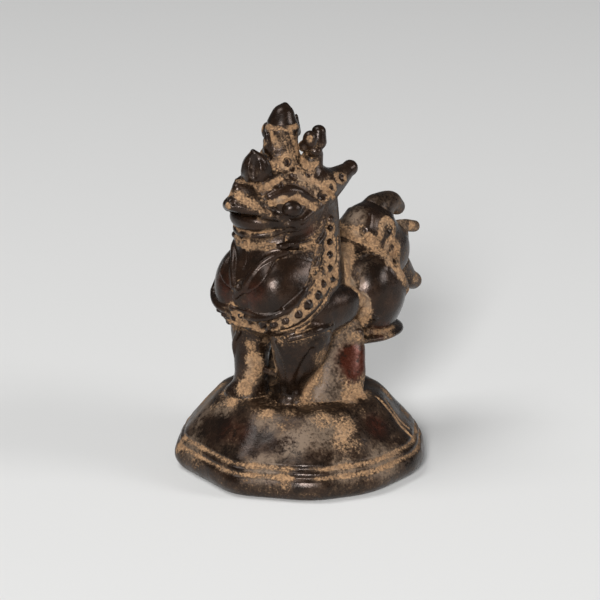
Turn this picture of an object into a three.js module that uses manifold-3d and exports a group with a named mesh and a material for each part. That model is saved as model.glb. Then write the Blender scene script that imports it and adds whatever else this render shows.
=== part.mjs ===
// A market weight in bronze: a crested lion-like beast that stands on a ten-sided base.
// Millimetres, +Z up. The beast looks along -Y and its left side is +X.
// The origin is the centre of the flat underside, straight below the middle of the base's top.
import * as THREE from "three";
import { mergeVertices } from "three/addons/utils/BufferGeometryUtils.js";
import Module from "manifold-3d";

// The air left where a piece is seated on a curved face of another
const seatGap = 0.3;

// Base: radii are measured to the corners, and baseTurn from straight ahead to the nearest corner
const baseSides = 10;
const baseTurn = 7.5;
const baseHeight = 11.8;
const baseFootRadius = 19;
const baseWidestRadius = 20;
const baseWidestHeight = 1.7;
const baseShoulderRadius = 19.4;
const baseShoulderHeight = 4.4;
const baseTopRadius = 12.1;
const baseTopEdge = 0.6;
const lowerLineHeight = 3.8;
const upperLineHeight = 5;
const lineHalfWidth = 0.35;
const lineDepth = 0.35;

// Adjusting plug in the underside, behind the middle
const plugRadius = 3.36;
const plugDepth = 2.73;
const plugBack = 7.88;
const plugClearance = 0.15;

// Torso: the flat underside of its hem, and the height at which the neck stands on it
const hemFloor = 17.7;
const neckSeat = 31.5;

const bellyFront = 0;
const bellyBack = 15.5;
const bellyHeight = 27.2;
const bellyRadius = 6.6;
const waistRadius = 6.3;
const rumpRadius = 6.4;
const rumpEndRadius = 5;

const chestForward = 4.3;
const chestHeight = 28.9;
const chestHalfWidth = 7.6;
const chestHalfLength = 8.9;
const chestHalfHeight = 7.5;

const hemBack = 10.6;
const hemHeight = 19.2;
const hemHalfWidth = 8.7;
const hemHalfLength = 9.4;
const hemHalfHeight = 2;
const hemTilt = -3;

// Haunches
const haunchSide = 5.1;
const haunchBack = 11.4;
const haunchHeight = 25;
const haunchHalfWidth = 4.1;
const haunchHalfLength = 5.7;
const haunchHalfHeight = 6.4;
const haunchTilt = -6;

// Neck, and the nape that goes on from it inside the head
const neckTop = 37.8;
const neckForward = 3;
const neckHalfWidth = 7.6;
const neckHalfLength = 9.2;
const neckTopForward = 2.1;
const neckTopHalfWidth = 6.8;
const neckTopHalfLength = 8.2;
const neckOverrun = 0.3;
const napeForward = 1.4;
const napeHeight = 42.5;
const napeHalfWidth = 5.8;
const napeHalfLength = 7.2;
const napeHalfHeight = 5.8;

// Breast lobes
const breastSide = 3.2;
const breastForward = 5.9;
const breastHeight = 29.2;
const breastHalfWidth = 5.3;
const breastHalfLength = 7.8;
const breastHalfHeight = 7;
const breastCleft = 0.3;

// Bib: a shield laid over the front of the neck and the breast
const bibThickness = 0.45;
const bibHalfWidth = 5.6;
const bibShoulderHeight = 35.4;
const bibPointHeight = 29.4;

// Garland of round bosses, laid round the breast. Azimuths run from straight ahead to the left.
const garlandThickness = 0.5;
const garlandHalfWidth = 1.9;
const garlandTopHalfWidth = 1.1;
const garlandTopAzimuth = 121;
const garlandTopRise = 0.8;
const garlandFlankAzimuth = 112;
const garlandFlankHeight = 33.6;
const garlandCornerAzimuth = 78;
const garlandCornerHeight = 29.4;
const garlandBreastAzimuth = 40;
const garlandBreastHeight = 26.5;
const garlandFrontHeight = 25.9;
const garlandBosses = 27;
const bossRadius = 0.85;
const topBossRadius = 0.5;

// Shoulder wings
const wingThicknessShare = 0.66;
const wingFrontSide = 5.4;
const wingFrontForward = 7;
const wingFrontHeight = 24.6;
const wingFrontHalfHeight = 2.6;
const wingMiddleSide = 6.3;
const wingMiddleForward = 2.6;
const wingMiddleHeight = 25.3;
const wingMiddleHalfHeight = 3.9;
const wingBackSide = 6.9;
const wingBackBack = 2.2;
const wingBackHeight = 25.7;
const wingBackHalfHeight = 3;
const wingTipSide = 7.3;
const wingTipBack = 5.9;
const wingTipHeight = 25.4;
const wingTipHalfHeight = 0.3;

// Legs, from the base's top up into the torso
const forelegTopSide = 4.5;
const forelegTopForward = 5.5;
const legTopHeight = 22.6;
const leftForeleg = { side: 3.3, forward: 6.9, foot: 1.4, shin: 1.6, knee: 2.5, top: 4, toe: 1.9 };
const rightForeleg = { side: 3.7, forward: 7.3, foot: 2.8, shin: 2.5, knee: 2.8, top: 3.6, toe: 3.2 };
const kneeShare = 0.6;
const toeHeight = 1.1;

const hindlegSide = 7.2;
const hindlegForward = 0.8;
const hindlegTopSide = 5.8;
const hindlegTopBack = 3.8;
const hindlegTurn = 57;
const hindfootHalfLength = 4.5;
const hindfootHalfWidth = 2.1;
const hindlegTopHalfLength = 3;
const hindlegTopHalfWidth = 1.4;

// Head
const skullForward = 3.4;
const skullHeight = 43.6;
const skullHalfWidth = 5.9;
const skullHalfLength = 8;
const skullHalfHeight = 5.3;
const cheekSide = 3.1;
const cheekForward = 4.6;
const cheekHeight = 41;
const cheekHalfWidth = 3.5;
const cheekHalfLength = 5.8;
const cheekHalfHeight = 3.2;

const muzzleRootForward = 7;
const muzzleRootHeight = 43.3;
const muzzleRootHalfWidth = 5;
const muzzleRootHalfHeight = 2.9;
const muzzleFront = 15.9;
const muzzleFrontHeight = 44.3;
const muzzleHalfWidth = 3.1;
const muzzleHalfHeight = 1.9;
const noseForward = 14;
const noseHeight = 46.2;
const noseRadius = 0.7;
const noseRootForward = 8.6;
const noseRootHeight = 44.2;
const noseRootRadius = 1.7;

const lipRadius = 0.75;
const lipCornerSide = 5;
const lipCornerForward = 9.4;
const lipCornerHeight = 42;
const lipFlankSide = 2.5;
const lipFlankForward = 13.1;
const lipFlankHeight = 43;

const mouthFloor = 40.1;
const mouthRoof = 41.6;
const mouthMiddle = 13.4;
const mouthHalfWidth = 5.9;
const mouthHalfLength = 6.4;

const jawRootForward = 6;
const jawFront = 13.1;
const jawHeight = 39.4;
const jawHalfWidth = 5.4;
const jawFrontHalfWidth = 2;
const jawHalfHeight = 1.5;

const eyeSide = 5.3;
const eyeForward = 7.9;
const eyeHeight = 42.6;
const eyeHalfLength = 1.5;
const eyeHalfDepth = 1;
const eyeHalfHeight = 1.1;
const eyeTurn = 48;

const browRadius = 1;
const browEndRadius = 0.6;
const browInnerSide = 3.2;
const browInnerForward = 10.6;
const browInnerHeight = 44.4;
const browTopSide = 5;
const browTopForward = 7.4;
const browTopHeight = 45.4;
const browOuterSide = 6;
const browOuterForward = 2;
const browOuterHeight = 42.6;

// Crest: each bud narrows from its foot to a waist and swells to a cup that holds a pointed dome
const domeInset = 0.3;

const frontBossForward = 9.9;
const frontBossFoot = 44.6;
const frontBossFootRadius = 1.9;
const frontBossWaistHeight = 1.2;
const frontBossWaistRadius = 2.1;
const frontBossCupHeight = 3;
const frontBossCupRadius = 2.5;
const frontBossLength = 6.5;
const frontBossLean = 8;
const frontBossFlatness = 0.8;

const topBudForward = 4.2;
const topBudFoot = 46.6;
const topBudFootRadius = 3.7;
const topBudWaistHeight = 3.8;
const topBudWaistRadius = 2.4;
const topBudCupHeight = 6.6;
const topBudCupRadius = 2.8;
const topBudLength = 10.7;

const crestBudSide = 3.4;
const crestBudForward = 1.8;
const crestBudFoot = 46.2;
const crestBudFootRadius = 2.1;
const crestBudWaistHeight = 3;
const crestBudWaistRadius = 1.35;
const crestBudCupHeight = 4.9;
const crestBudCupRadius = 1.6;
const crestBudLength = 7.6;
const crestBudLean = -15;
const crestLeafForward = 0.8;
const crestLeafRise = 5.3;
const crestLeafHalfWidth = 1.2;
const crestLeafHalfHeight = 1.6;

const rearBudSide = 4.1;
const rearBudRootBack = 0.4;
const rearBudRootHeight = 44.2;
const rearBudRootRadius = 3;
const rearBudMiddleBack = 3.6;
const rearBudMiddleHeight = 44.4;
const rearBudMiddleRadius = 2;
const rearBudTipBack = 6.9;
const rearBudTipHeight = 45.8;
const rearBudTipRadius = 1.2;

// Tail: two swells of the plume, and the flames on it
const plumeBack = 15.8;
const plumeHeight = 32.4;
const plumeHalfWidth = 4.2;
const plumeHalfLength = 5.9;
const plumeHalfHeight = 5.4;
const plumeTilt = -12;
const plumeSwellBack = 18.6;
const plumeSwellHeight = 29.6;
const plumeSwellHalfWidth = 4.4;
const plumeSwellHalfLength = 5.6;
const plumeSwellHalfHeight = 5;

const tailTipRadius = 2.4;
const tailTipBendRadius = 1.5;
const tailTipEndRadius = 0.4;
const upperTipBack = 18.2;
const upperTipHeight = 36.4;
const upperTipRun = 5.3;
const upperTipRise = -0.6;
const upperTipCurl = 1;
const middleTipBack = 22;
const middleTipHeight = 30.2;
const middleTipRun = 6.5;
const middleTipRise = 1.3;
const middleTipCurl = 1.6;
const lowerTipBack = 22.2;
const lowerTipHeight = 27;
const lowerTipRun = 6.3;
const lowerTipRise = -4.9;
const lowerTipCurl = -1.4;

const wasm = await Module();
wasm.setup();

// Colours and finish
const bronze = new THREE.MeshStandardMaterial({ color: 0x2b1b12, roughness: 0.38, metalness: 0.85 });
const earthyBronze = new THREE.MeshStandardMaterial({
  color: 0x6b4c2c,
  roughness: 0.75,
  metalness: 0.35,
});
const lead = new THREE.MeshStandardMaterial({ color: 0x55565a, roughness: 0.6, metalness: 0.8 });

const across = new THREE.Vector3(1, 0, 0);
const upwards = new THREE.Vector3(0, 0, 1);
const at = (side, forward, height) => new THREE.Vector3(side, -forward, height);
const bend = (...points) => new THREE.CatmullRomCurve3(points);
const otherSide = (point) => new THREE.Vector3(-point.x, point.y, point.z);
const mirrorOf = (points) => points.map(otherSide).reverse();

// A closed geometry as a solid that can be joined and cut
function solidFrom(geometry) {
  const bare = geometry.clone();
  bare.deleteAttribute("normal");
  bare.deleteAttribute("uv");
  const merged = mergeVertices(bare, 1e-4);
  return new wasm.Manifold(
    new wasm.Mesh({
      numProp: 3,
      vertProperties: merged.attributes.position.array,
      triVerts: new Uint32Array(merged.index.array),
    }),
  );
}

// A solid back as a geometry
function geometryFrom(solid) {
  const mesh = solid.getMesh();
  const geometry = new THREE.BufferGeometry();
  geometry.setAttribute("position", new THREE.BufferAttribute(mesh.vertProperties, 3));
  geometry.setIndex(new THREE.BufferAttribute(mesh.triVerts, 1));
  const flat = geometry.toNonIndexed();
  flat.computeVertexNormals();
  return flat;
}

// An ellipsoid, turned in degrees about X and then about Z, and larger all round by grow
function ellipsoid(centre, halfSizes, { tilt = 0, turn = 0, grow = 0, around = 16, rings = 10 } = {}) {
  const ball = new THREE.SphereGeometry(1, around, rings);
  ball.scale(halfSizes[0] + grow, halfSizes[1] + grow, halfSizes[2] + grow);
  ball.rotateX(THREE.MathUtils.degToRad(tilt));
  ball.rotateZ(THREE.MathUtils.degToRad(turn));
  ball.translate(centre.x, centre.y, centre.z);
  return solidFrom(ball);
}

// A closed skin over ellipses strung along a curve. halfSizes(t) gives the half width along side
// and the half depth square to it.
function sweep(curve, side, halfSizes, { grow = 0, steps = 10, around = 16 } = {}) {
  const points = [];
  const triangles = [];
  for (let step = 0; step <= steps; step++) {
    const t = step / steps;
    const centre = curve.getPoint(t);
    const along = curve.getTangent(t);
    const wide = side.clone().addScaledVector(along, -side.dot(along)).normalize();
    const deep = new THREE.Vector3().crossVectors(along, wide);
    const [halfWidth, halfDepth] = halfSizes(t);
    for (let corner = 0; corner < around; corner++) {
      const angle = (corner / around) * 2 * Math.PI;
      const point = centre
        .clone()
        .addScaledVector(wide, (halfWidth + grow) * Math.cos(angle))
        .addScaledVector(deep, (halfDepth + grow) * Math.sin(angle));
      points.push(point);
    }
  }
  const first = points.length;
  points.push(curve.getPoint(0), curve.getPoint(1));
  for (let corner = 0; corner < around; corner++) {
    const next = (corner + 1) % around;
    for (let step = 0; step < steps; step++) {
      const low = step * around;
      const high = low + around;
      triangles.push(low + corner, low + next, high + corner);
      triangles.push(low + next, high + next, high + corner);
    }
    const last = steps * around;
    triangles.push(first, next, corner);
    triangles.push(first + 1, last + corner, last + next);
  }
  const skin = new THREE.BufferGeometry().setFromPoints(points);
  skin.setIndex(triangles);
  return solidFrom(skin);
}

// Steps smoothly through the values, which are spread evenly over t from 0 to 1
function through(values, t) {
  const place = Math.min(t, 0.9999) * (values.length - 1);
  const before = Math.floor(place);
  const share = THREE.MathUtils.smoothstep(place - before, 0, 1);
  return THREE.MathUtils.lerp(values[before], values[before + 1], share);
}

// A round rod along a curve, with its radius stepping through the values
function rod(curve, radii, { grow = 0, steps = 6, around = 10 } = {}) {
  const halfSizes = (t) => [through(radii, t), through(radii, t)];
  return sweep(curve, across, halfSizes, { grow, steps, around });
}

// What lies between two heights
function between(solid, low, high) {
  const reach = 4 * baseWidestRadius;
  const slab = new THREE.BoxGeometry(reach, reach, high - low);
  slab.translate(0, 0, (low + high) / 2);
  return solid.intersect(solidFrom(slab));
}

// The left half of a solid, which is at +X, from the given distance outwards
function leftOf(solid, distance) {
  const reach = 4 * baseWidestRadius;
  const half = new THREE.BoxGeometry(reach, 2 * reach, 2 * reach);
  half.translate(distance + reach / 2, 0, 0);
  return solid.intersect(solidFrom(half));
}

// The same solid on the other side of the middle plane
const mirrored = (solid) => solid.mirror([1, 0, 0]);

// Base: a sloping body with incised lines below and above its shoulder
function baseRadiusAt(height) {
  const [lowHeight, lowRadius, highHeight, highRadius] =
    height < baseShoulderHeight
      ? [baseWidestHeight, baseWidestRadius, baseShoulderHeight, baseShoulderRadius]
      : [baseShoulderHeight, baseShoulderRadius, baseHeight, baseTopRadius];
  return THREE.MathUtils.mapLinear(height, lowHeight, highHeight, lowRadius, highRadius);
}

function incisedLine(height) {
  return [
    new THREE.Vector2(baseRadiusAt(height - lineHalfWidth), height - lineHalfWidth),
    new THREE.Vector2(baseRadiusAt(height) - lineDepth, height),
    new THREE.Vector2(baseRadiusAt(height + lineHalfWidth), height + lineHalfWidth),
  ];
}

function basePiece() {
  const foot = new THREE.QuadraticBezierCurve(
    new THREE.Vector2(baseFootRadius, 0),
    new THREE.Vector2(baseWidestRadius, baseWidestHeight / 3),
    new THREE.Vector2(baseWidestRadius, baseWidestHeight),
  );
  const outline = [
    new THREE.Vector2(0, 0),
    ...foot.getPoints(4),
    ...incisedLine(lowerLineHeight),
    ...incisedLine(upperLineHeight),
    new THREE.Vector2(baseRadiusAt(baseHeight - baseTopEdge / 2), baseHeight - baseTopEdge / 2),
    new THREE.Vector2(baseTopRadius - baseTopEdge, baseHeight),
    new THREE.Vector2(0, baseHeight),
  ];
  const body = new THREE.LatheGeometry(outline, baseSides, THREE.MathUtils.degToRad(baseTurn));
  body.rotateX(Math.PI / 2);
  return solidFrom(body).subtract(plugCylinder(plugClearance));
}

// The plug, or with a clearance the hole that it fills, which runs out through the underside
function plugCylinder(clearance = 0) {
  const radius = plugRadius + clearance;
  const depth = plugDepth + clearance;
  const cylinder = new THREE.CylinderGeometry(radius, radius, depth, 24);
  cylinder.rotateX(Math.PI / 2);
  cylinder.translate(0, plugBack, plugDepth - depth / 2);
  return solidFrom(cylinder);
}

// Torso
function trunk(grow = 0) {
  const spine = new THREE.LineCurve3(at(0, -bellyFront, bellyHeight), at(0, -bellyBack, bellyHeight));
  const belly = rod(spine, [bellyRadius, waistRadius, rumpRadius, rumpEndRadius], { grow, around: 16 });
  const rump = ellipsoid(spine.v2, [rumpEndRadius, rumpEndRadius, rumpEndRadius], { grow });
  const chest = ellipsoid(
    at(0, chestForward, chestHeight),
    [chestHalfWidth, chestHalfLength, chestHalfHeight],
    { grow },
  );
  const hem = ellipsoid(
    at(0, -hemBack, hemHeight),
    [hemHalfWidth, hemHalfLength, hemHalfHeight],
    { tilt: hemTilt, grow, around: 20, rings: 8 },
  );
  return between(belly.add(rump).add(chest).add(hem), hemFloor - grow, neckSeat + grow);
}

function haunch(grow = 0) {
  return ellipsoid(
    at(haunchSide, -haunchBack, haunchHeight),
    [haunchHalfWidth, haunchHalfLength, haunchHalfHeight],
    { tilt: haunchTilt, grow },
  );
}

// The neck stands on the trunk and carries the head and the jaw on its flat top. It leans, so its
// column starts below the seat and ends above the top, and is cut level at both.
function neck(grow = 0) {
  const foot = at(0, neckForward, neckSeat);
  const top = at(0, neckTopForward, neckTop);
  const start = foot.clone().lerp(top, -neckOverrun);
  const end = foot.clone().lerp(top, 1 + neckOverrun);
  const sizeAt = (t) => {
    const share = THREE.MathUtils.lerp(-neckOverrun, 1 + neckOverrun, t);
    return [
      THREE.MathUtils.lerp(neckHalfWidth, neckTopHalfWidth, share),
      THREE.MathUtils.lerp(neckHalfLength, neckTopHalfLength, share),
    ];
  };
  const line = new THREE.LineCurve3(start, end);
  const column = sweep(line, across, sizeAt, { grow, steps: 3, around: 20 });
  return between(column, neckSeat, neckTop);
}

// Breast
function breastLobe(grow = 0) {
  const lobe = ellipsoid(
    at(breastSide, breastForward, breastHeight),
    [breastHalfWidth, breastHalfLength, breastHalfHeight],
    { grow },
  );
  return leftOf(lobe, breastCleft / 2 - grow);
}

// The skin that the bib and the garland are laid on
function breastSkin(grow = 0) {
  const lobe = breastLobe(grow);
  return trunk(grow).add(neck(grow)).add(nape(grow)).add(lobe).add(mirrored(lobe));
}

function bib(grow = 0) {
  const halfWidth = bibHalfWidth + grow;
  const shield = new THREE.Shape();
  shield.moveTo(-halfWidth, neckTop - seatGap + grow);
  shield.lineTo(-halfWidth, bibShoulderHeight);
  shield.quadraticCurveTo(-halfWidth / 3, bibPointHeight - grow, 0, bibPointHeight - grow);
  shield.quadraticCurveTo(halfWidth / 3, bibPointHeight - grow, halfWidth, bibShoulderHeight);
  shield.lineTo(halfWidth, neckTop - seatGap + grow);
  const cutter = new THREE.ExtrudeGeometry(shield, {
    depth: 2 * neckHalfLength,
    bevelEnabled: false,
    curveSegments: 4,
  });
  cutter.rotateX(Math.PI / 2);
  cutter.translate(0, -neckForward, 0);
  return breastSkin(seatGap + bibThickness + grow).intersect(solidFrom(cutter));
}

// The garland's middle line lies on the skin, where a ray from outside meets it
function garlandCurve() {
  const skin = new THREE.Mesh(geometryFrom(breastSkin(seatGap)));
  const places = new THREE.SplineCurve([
    new THREE.Vector2(garlandTopAzimuth, neckTop + garlandTopRise),
    new THREE.Vector2(garlandFlankAzimuth, garlandFlankHeight),
    new THREE.Vector2(garlandCornerAzimuth, garlandCornerHeight),
    new THREE.Vector2(garlandBreastAzimuth, garlandBreastHeight),
    new THREE.Vector2(0, garlandFrontHeight),
  ]);
  const leftSide = places.getPoints(10).map(({ x: azimuth, y: height }) => {
    const angle = THREE.MathUtils.degToRad(azimuth);
    const outwards = at(Math.sin(angle), Math.cos(angle), 0);
    const start = at(0, chestForward, height).addScaledVector(outwards, 2 * neckHalfLength);
    return new THREE.Raycaster(start, outwards.negate()).intersectObject(skin)[0].point;
  });
  return bend(...leftSide, ...mirrorOf(leftSide.slice(0, -1)));
}

const garlandLine = garlandCurve();

function garland(grow = 0) {
  const widths = [
    garlandTopHalfWidth,
    garlandHalfWidth,
    garlandHalfWidth,
    garlandHalfWidth,
    garlandTopHalfWidth,
  ];
  const band = rod(garlandLine, widths, { grow, steps: 20, around: 6 });
  let whole = band.intersect(breastSkin(seatGap + garlandThickness + grow));
  for (let boss = 0; boss < garlandBosses; boss++) {
    const share = (boss + 0.5) / garlandBosses;
    const radius = through([topBossRadius, bossRadius, bossRadius, bossRadius, topBossRadius], share);
    const centre = garlandLine.getPointAt(share);
    whole = whole.add(ellipsoid(centre, [radius, radius, radius], { grow, around: 6, rings: 4 }));
  }
  return whole;
}

function wing(grow = 0) {
  const edge = bend(
    at(wingFrontSide, wingFrontForward, wingFrontHeight),
    at(wingMiddleSide, wingMiddleForward, wingMiddleHeight),
    at(wingBackSide, -wingBackBack, wingBackHeight),
    at(wingTipSide, -wingTipBack, wingTipHeight),
  );
  const heights = [wingFrontHalfHeight, wingMiddleHalfHeight, wingBackHalfHeight, wingTipHalfHeight];
  return sweep(
    edge,
    upwards,
    (t) => [through(heights, t), through(heights, t) * wingThicknessShare],
    { grow, steps: 8, around: 12 },
  );
}

// Legs
function foreleg({ side, forward, foot, shin, knee, top, toe }, grow = 0) {
  const start = at(side, forward, baseHeight - toeHeight);
  const end = at(forelegTopSide, forelegTopForward, legTopHeight);
  const kneePlace = start.clone().lerp(end, kneeShare);
  const column = rod(bend(start, kneePlace, end), [foot, shin, knee, top], { grow });
  const toes = ellipsoid(at(side, forward, baseHeight), [toe, toe, toeHeight], { grow, rings: 8 });
  return between(column.add(toes), baseHeight, legTopHeight);
}

function hindleg(grow = 0) {
  const bone = new THREE.LineCurve3(
    at(hindlegSide, hindlegForward, baseHeight - seatGap),
    at(hindlegTopSide, -hindlegTopBack, legTopHeight),
  );
  const turn = THREE.MathUtils.degToRad(hindlegTurn);
  const plate = sweep(
    bone,
    new THREE.Vector3(Math.cos(turn), Math.sin(turn), 0),
    (t) => [
      THREE.MathUtils.lerp(hindfootHalfLength, hindlegTopHalfLength, t * t),
      THREE.MathUtils.lerp(hindfootHalfWidth, hindlegTopHalfWidth, t * t),
    ],
    { grow, steps: 6 },
  );
  return between(plate, baseHeight, legTopHeight);
}

// Head
function nape(grow = 0) {
  const foot = at(0, neckTopForward, neckTop);
  const top = at(0, napeForward, napeHeight);
  const start = foot.clone().lerp(top, -neckOverrun);
  const sizeAt = (t) => {
    const share = THREE.MathUtils.lerp(-neckOverrun, 1, t);
    return [
      THREE.MathUtils.lerp(neckTopHalfWidth, napeHalfWidth, share),
      THREE.MathUtils.lerp(neckTopHalfLength, napeHalfLength, share),
    ];
  };
  const line = new THREE.LineCurve3(start, top);
  const column = sweep(line, across, sizeAt, { grow, steps: 2, around: 20 });
  const crown = ellipsoid(top, [napeHalfWidth, napeHalfLength, napeHalfHeight], {
    grow,
    around: 20,
    rings: 10,
  });
  return between(column.add(crown), neckTop, skullHeight + skullHalfHeight);
}

function muzzle(grow) {
  const beak = sweep(
    new THREE.LineCurve3(
      at(0, muzzleRootForward, muzzleRootHeight),
      at(0, muzzleFront, muzzleFrontHeight),
    ),
    across,
    (t) => [
      through([muzzleRootHalfWidth, muzzleHalfWidth, lipRadius], t),
      through([muzzleRootHalfHeight, muzzleHalfHeight, lipRadius / 2], t),
    ],
    { grow, steps: 6, around: 14 },
  );
  const nose = rod(
    new THREE.LineCurve3(at(0, noseRootForward, noseRootHeight), at(0, noseForward, noseHeight)),
    [noseRootRadius, noseRadius],
    { grow, steps: 3, around: 8 },
  );
  const leftLip = [
    at(lipCornerSide, lipCornerForward, lipCornerHeight),
    at(lipFlankSide, lipFlankForward, lipFlankHeight),
  ];
  const front = at(0, muzzleFront - lipRadius, muzzleFrontHeight);
  const lip = sweep(
    bend(...leftLip, front, ...mirrorOf(leftLip)),
    upwards,
    () => [lipRadius, lipRadius],
    { grow, steps: 10, around: 6 },
  );
  // The roof of the mouth fills in behind the lip
  const outline = [...leftLip, ...mirrorOf(leftLip)].map(({ x, y }) => new THREE.Vector2(x, y));
  const palate = new THREE.ExtrudeGeometry(new THREE.Shape(outline), {
    depth: lipFlankHeight - mouthRoof,
    bevelEnabled: false,
  });
  palate.translate(0, 0, mouthRoof);
  return beak.add(nose).add(lip).add(solidFrom(palate));
}

// The mouth is an oval slot that is open at the front
function mouth(grow) {
  const slot = new THREE.CylinderGeometry(1, 1, mouthRoof - mouthFloor - 2 * grow, 20);
  slot.rotateX(Math.PI / 2);
  slot.scale(mouthHalfWidth - grow, mouthHalfLength - grow, 1);
  slot.translate(0, -mouthMiddle, (mouthRoof + mouthFloor) / 2);
  return solidFrom(slot);
}

function head(grow = 0) {
  const skull = ellipsoid(
    at(0, skullForward, skullHeight),
    [skullHalfWidth, skullHalfLength, skullHalfHeight],
    { grow, around: 18, rings: 12 },
  );
  const cheek = ellipsoid(
    at(cheekSide, cheekForward, cheekHeight),
    [cheekHalfWidth, cheekHalfLength, cheekHalfHeight],
    { grow, around: 12, rings: 8 },
  );
  const whole = nape(grow).add(skull).add(cheek).add(mirrored(cheek)).add(muzzle(grow));
  return between(whole, neckTop, skullHeight + 2 * skullHalfHeight).subtract(mouth(grow));
}

function jaw(grow = 0) {
  const bone = new THREE.LineCurve3(at(0, jawRootForward, jawHeight), at(0, jawFront, jawHeight));
  const chin = sweep(
    bone,
    across,
    (t) => [
      through([jawHalfWidth, jawHalfWidth, jawFrontHalfWidth], t),
      jawHalfHeight,
    ],
    { grow, steps: 8, around: 16 },
  );
  return between(chin, neckTop, mouthFloor + grow);
}

function eye(grow = 0) {
  return ellipsoid(
    at(eyeSide, eyeForward, eyeHeight),
    [eyeHalfLength, eyeHalfDepth, eyeHalfHeight],
    { turn: eyeTurn, grow, around: 10, rings: 7 },
  );
}

function brow(grow = 0) {
  const arch = bend(
    at(browInnerSide, browInnerForward, browInnerHeight),
    at(browTopSide, browTopForward, browTopHeight),
    at(browOuterSide, browOuterForward, browOuterHeight),
  );
  return rod(arch, [browEndRadius, browRadius, browRadius, browEndRadius], { grow, around: 6 });
}

// A bud of the crest, leaning from its foot by lean degrees, forwards where it is positive
function bud(foot, sizes, grow = 0) {
  const { footRadius, waistHeight, waistRadius, cupHeight, cupRadius, length } = sizes;
  const { lean = 0, flatness = 1 } = sizes;
  const stalk = new THREE.SplineCurve([
    new THREE.Vector2(footRadius + grow, -grow),
    new THREE.Vector2(waistRadius + grow, waistHeight),
    new THREE.Vector2(cupRadius + grow, cupHeight),
  ]);
  const domeRadius = cupRadius - domeInset + grow;
  const dome = new THREE.QuadraticBezierCurve(
    new THREE.Vector2(domeRadius, cupHeight + domeInset),
    new THREE.Vector2(domeRadius, length - domeInset),
    new THREE.Vector2(0, length + grow),
  );
  const outline = [new THREE.Vector2(0, -grow), ...stalk.getPoints(4), ...dome.getPoints(4)];
  const shape = new THREE.LatheGeometry(outline, 12).rotateX(Math.PI / 2);
  shape.scale(1, flatness, 1);
  shape.rotateX(THREE.MathUtils.degToRad(lean));
  shape.translate(foot.x, foot.y, foot.z);
  return solidFrom(shape);
}

function frontBoss(grow) {
  const sizes = {
    footRadius: frontBossFootRadius,
    waistHeight: frontBossWaistHeight,
    waistRadius: frontBossWaistRadius,
    cupHeight: frontBossCupHeight,
    cupRadius: frontBossCupRadius,
    length: frontBossLength,
    lean: frontBossLean,
    flatness: frontBossFlatness,
  };
  return bud(at(0, frontBossForward, frontBossFoot), sizes, grow);
}

function topBud(grow) {
  const sizes = {
    footRadius: topBudFootRadius,
    waistHeight: topBudWaistHeight,
    waistRadius: topBudWaistRadius,
    cupHeight: topBudCupHeight,
    cupRadius: topBudCupRadius,
    length: topBudLength,
  };
  return bud(at(0, topBudForward, topBudFoot), sizes, grow);
}

function crestBud(grow) {
  const sizes = {
    footRadius: crestBudFootRadius,
    waistHeight: crestBudWaistHeight,
    waistRadius: crestBudWaistRadius,
    cupHeight: crestBudCupHeight,
    cupRadius: crestBudCupRadius,
    length: crestBudLength,
    lean: crestBudLean,
  };
  const leaf = ellipsoid(
    at(crestBudSide, crestBudForward + crestLeafForward, crestBudFoot + crestLeafRise),
    [crestLeafHalfWidth, crestLeafHalfWidth, crestLeafHalfHeight],
    { grow, around: 10, rings: 6 },
  );
  return bud(at(crestBudSide, crestBudForward, crestBudFoot), sizes, grow).add(leaf);
}

function rearBud(grow = 0) {
  const tip = at(rearBudSide, -rearBudTipBack, rearBudTipHeight);
  const root = at(rearBudSide, -rearBudRootBack, rearBudRootHeight);
  const middle = at(rearBudSide, -rearBudMiddleBack, rearBudMiddleHeight);
  const radii = [rearBudRootRadius, rearBudMiddleRadius, rearBudTipRadius - domeInset];
  const stalk = rod(bend(root, middle, tip), radii, { grow, steps: 5 });
  const ball = ellipsoid(tip, [rearBudTipRadius, rearBudTipRadius, rearBudTipRadius], {
    grow,
    around: 10,
    rings: 6,
  });
  return stalk.add(ball);
}

// Tail
function plume(grow = 0) {
  const upper = ellipsoid(
    at(0, -plumeBack, plumeHeight),
    [plumeHalfWidth, plumeHalfLength, plumeHalfHeight],
    { tilt: plumeTilt, grow, around: 18, rings: 12 },
  );
  const swell = ellipsoid(
    at(0, -plumeSwellBack, plumeSwellHeight),
    [plumeSwellHalfWidth, plumeSwellHalfLength, plumeSwellHalfHeight],
    { grow, around: 18, rings: 12 },
  );
  return upper.add(swell);
}

// A flame goes back by its run and up by its rise, and curls upwards on the way
function tailTip(back, height, run, rise, curl, grow = 0) {
  const root = at(0, -back, height);
  const middle = at(0, -back - run / 2, height + rise / 2 + curl);
  const end = at(0, -back - run, height + rise);
  return rod(bend(root, middle, end), [tailTipRadius, tailTipBendRadius, tailTipEndRadius], { grow });
}

const upperTip = (grow) =>
  tailTip(upperTipBack, upperTipHeight, upperTipRun, upperTipRise, upperTipCurl, grow);
const middleTip = (grow) =>
  tailTip(middleTipBack, middleTipHeight, middleTipRun, middleTipRise, middleTipCurl, grow);
const lowerTip = (grow) =>
  tailTip(lowerTipBack, lowerTipHeight, lowerTipRun, lowerTipRise, lowerTipCurl, grow);

// The whole weight. Each piece is placed after what it rests on, and is trimmed to it.
const weight = new THREE.Group();
const seats = new Map();

function addMesh(name, solid, material) {
  const mesh = new THREE.Mesh(geometryFrom(solid), material);
  mesh.name = name;
  weight.add(mesh);
}

function trimmed(solid, restsOn) {
  return restsOn.reduce((left, name) => left.subtract(seats.get(name)), solid);
}

function place(name, make, restsOn = [], material = bronze) {
  addMesh(name, trimmed(make(0), restsOn), material);
  seats.set(name, make(seatGap));
}

function placePair(name, make, restsOn = [], material = bronze) {
  const left = trimmed(make(0), restsOn);
  const leftSeat = make(seatGap);
  addMesh("left_" + name, left, material);
  addMesh("right_" + name, mirrored(left), material);
  seats.set(name, leftSeat.add(mirrored(leftSeat)));
}

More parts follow.
